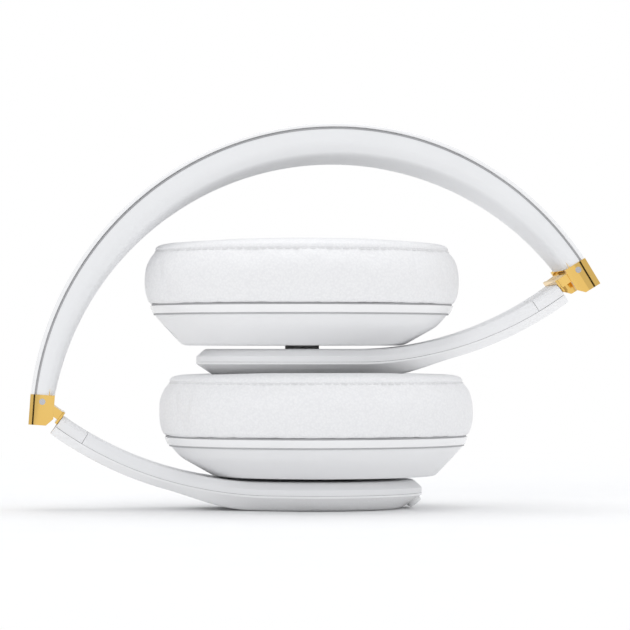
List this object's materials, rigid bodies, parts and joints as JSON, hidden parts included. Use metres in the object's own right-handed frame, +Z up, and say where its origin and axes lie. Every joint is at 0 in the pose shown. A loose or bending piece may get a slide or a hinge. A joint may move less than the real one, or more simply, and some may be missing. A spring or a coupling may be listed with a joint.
{
  "type": "folding over-ear headphones",
  "caption": "Wireless over-ear headphones, folded: padded headband, hinged and sliding arms, tilting oval ear cups with soft cushions.",
  "frame": {"origin": "centre of the folded part's footprint, on the surface it stands on", "axes": "+X across the folded headband, from the wearer's right hinge towards the left one; +Y along the ear cups' short axis, away from the front view; +Z up"},
  "size_m": [0.167, 0.0754, 0.1124],
  "materials": {
    "white_matte": "matte white moulded plastic",
    "white_gloss": "satin to gloss white plastic",
    "gold": "polished pale gold",
    "leather": "fine pebbled white leatherette over foam",
    "cloth": "dark open acoustic cloth",
    "steel": "spring and stainless steel",
    "board": "circuit board",
    "dark_plastic": "black glass-filled plastic",
    "battery_wrap": "heat-shrunk cell",
    "magnet": "driver frame and magnet",
    "diaphragm": "thin polymer film",
    "light_pipe": "clear light pipe",
    "socket_metal": "plated socket",
    "band_pad": "soft-touch padded underside"
  },
  "bodies": {
    "arm_right": {"arm_outer_cover_right": "white_gloss", "arm_inner_cover_right": "white_matte", "charge_light_pipes": "light_pipe", "main_board": "board", "gimbal_post_right": "dark_plastic", "gimbal_inner_pin_right": "steel", "pod_screws_right": "steel"},
    "power_key": {"power_button": "white_gloss"},
    "slider_right": {"slider_rail_right": "steel", "slider_collar_right": "white_matte", "hinge_knuckle_right": "gold"},
    "headband": {"headband_cover": "white_gloss", "headband_frame": "dark_plastic", "headband_spring": "steel", "headband_pad": "band_pad", "hinge_bracket_left": "gold", "hinge_pin_left": "steel", "hinge_bracket_right": "gold", "hinge_pin_right": "steel"},
    "slider_left": {"slider_rail_left": "steel", "slider_collar_left": "white_matte", "hinge_knuckle_left": "gold"},
    "arm_left": {"arm_outer_cover_left": "white_gloss", "arm_inner_cover_left": "white_matte", "button_board": "board", "gimbal_post_left": "dark_plastic", "gimbal_inner_pin_left": "steel", "pod_screws_left": "steel"},
    "centre_key": {"centre_button": "white_gloss"},
    "volume_key": {"volume_ring": "white_gloss"},
    "gimbal_right": {"gimbal_ring_right": "dark_plastic"},
    "gimbal_left": {"gimbal_ring_left": "dark_plastic"},
    "cup_right": {"cup_shell_right": "white_matte", "gimbal_outer_pins_right": "steel", "bezel_ring_right": "white_matte", "baffle_plate_right": "dark_plastic", "baffle_screws_right": "steel", "driver_right": "magnet", "driver_diaphragm_right": "diaphragm", "acoustic_cloth_right": "cloth", "cushion_right": "leather", "charging_socket": "socket_metal"},
    "cup_left": {"cup_shell_left": "white_matte", "gimbal_outer_pins_left": "steel", "bezel_ring_left": "white_matte", "baffle_plate_left": "dark_plastic", "baffle_screws_left": "steel", "driver_left": "magnet", "driver_diaphragm_left": "diaphragm", "acoustic_cloth_left": "cloth", "cushion_left": "leather", "battery": "battery_wrap", "jack_socket": "socket_metal"}
  },
  "joints": [
    {"name": "slide_right", "type": "hinge", "parent": "arm_right", "child": "slider_right", "pos_m": [-0.01464, 0, 0.1088], "axis": [0, 1, 0], "range_deg": [0, 11], "deforming": ["cushion_right"]},
    {"name": "fold_right", "type": "hinge", "parent": "slider_right", "child": "headband", "pos_m": [-0.0795, 0, 0.0317], "axis": [0, -1, 0], "range_deg": [0, 50]},
    {"name": "fold_left", "type": "hinge", "parent": "headband", "child": "slider_left", "pos_m": [0.07691, 0, 0.0701], "axis": [0, -1, 0], "range_deg": [0, 81]},
    {"name": "slide_left", "type": "hinge", "parent": "slider_left", "child": "arm_left", "pos_m": [0.01206, 0, 0.1472], "axis": [0, 1, 0], "range_deg": [0, 2.8]},
    {"name": "tilt_right", "type": "hinge", "parent": "arm_right", "child": "gimbal_right", "pos_m": [0.00081, 0, 0.012], "axis": [1, 0, 0], "range_deg": [-1.5, 1.5], "deforming": ["cushion_right"]},
    {"name": "nod_right", "type": "hinge", "parent": "gimbal_right", "child": "cup_right", "pos_m": [0.00081, 0, 0.012], "axis": [0, 1, 0], "range_deg": [-0.5, 1.5], "deforming": ["cushion_right"]},
    {"name": "tilt_left", "type": "hinge", "parent": "arm_left", "child": "gimbal_left", "pos_m": [-0.00339, 0, 0.0504], "axis": [1, 0, 0], "range_deg": [-1.5, 1.5]},
    {"name": "nod_left", "type": "hinge", "parent": "gimbal_left", "child": "cup_left", "pos_m": [-0.00339, 0, 0.0504], "axis": [0, 1, 0], "range_deg": [-1.5, 0.5]},
    {"name": "power_press", "type": "slide", "parent": "arm_right", "child": "power_key", "axis": [-0.6157, 0, 0.788], "range_m": [0, 0.0004], "stiffness_N_per_m": 1500, "springref_m": -0.0002},
    {"name": "centre_press", "type": "slide", "parent": "arm_left", "child": "centre_key", "axis": [0, 0, 1], "range_m": [0, 0.0003], "stiffness_N_per_m": 1500, "springref_m": -0.0002},
    {"name": "volume_rock", "type": "hinge", "parent": "arm_left", "child": "volume_key", "pos_m": [-0.00339, 0, 0.0389], "axis": [0, 1, 0], "range_deg": [-1, 1], "stiffness_Nm_per_rad": 0.5}
  ],
  "couplings": [
    {"joint": "fold_left", "follows": "fold_right", "ratio": 0.42}
  ]
}
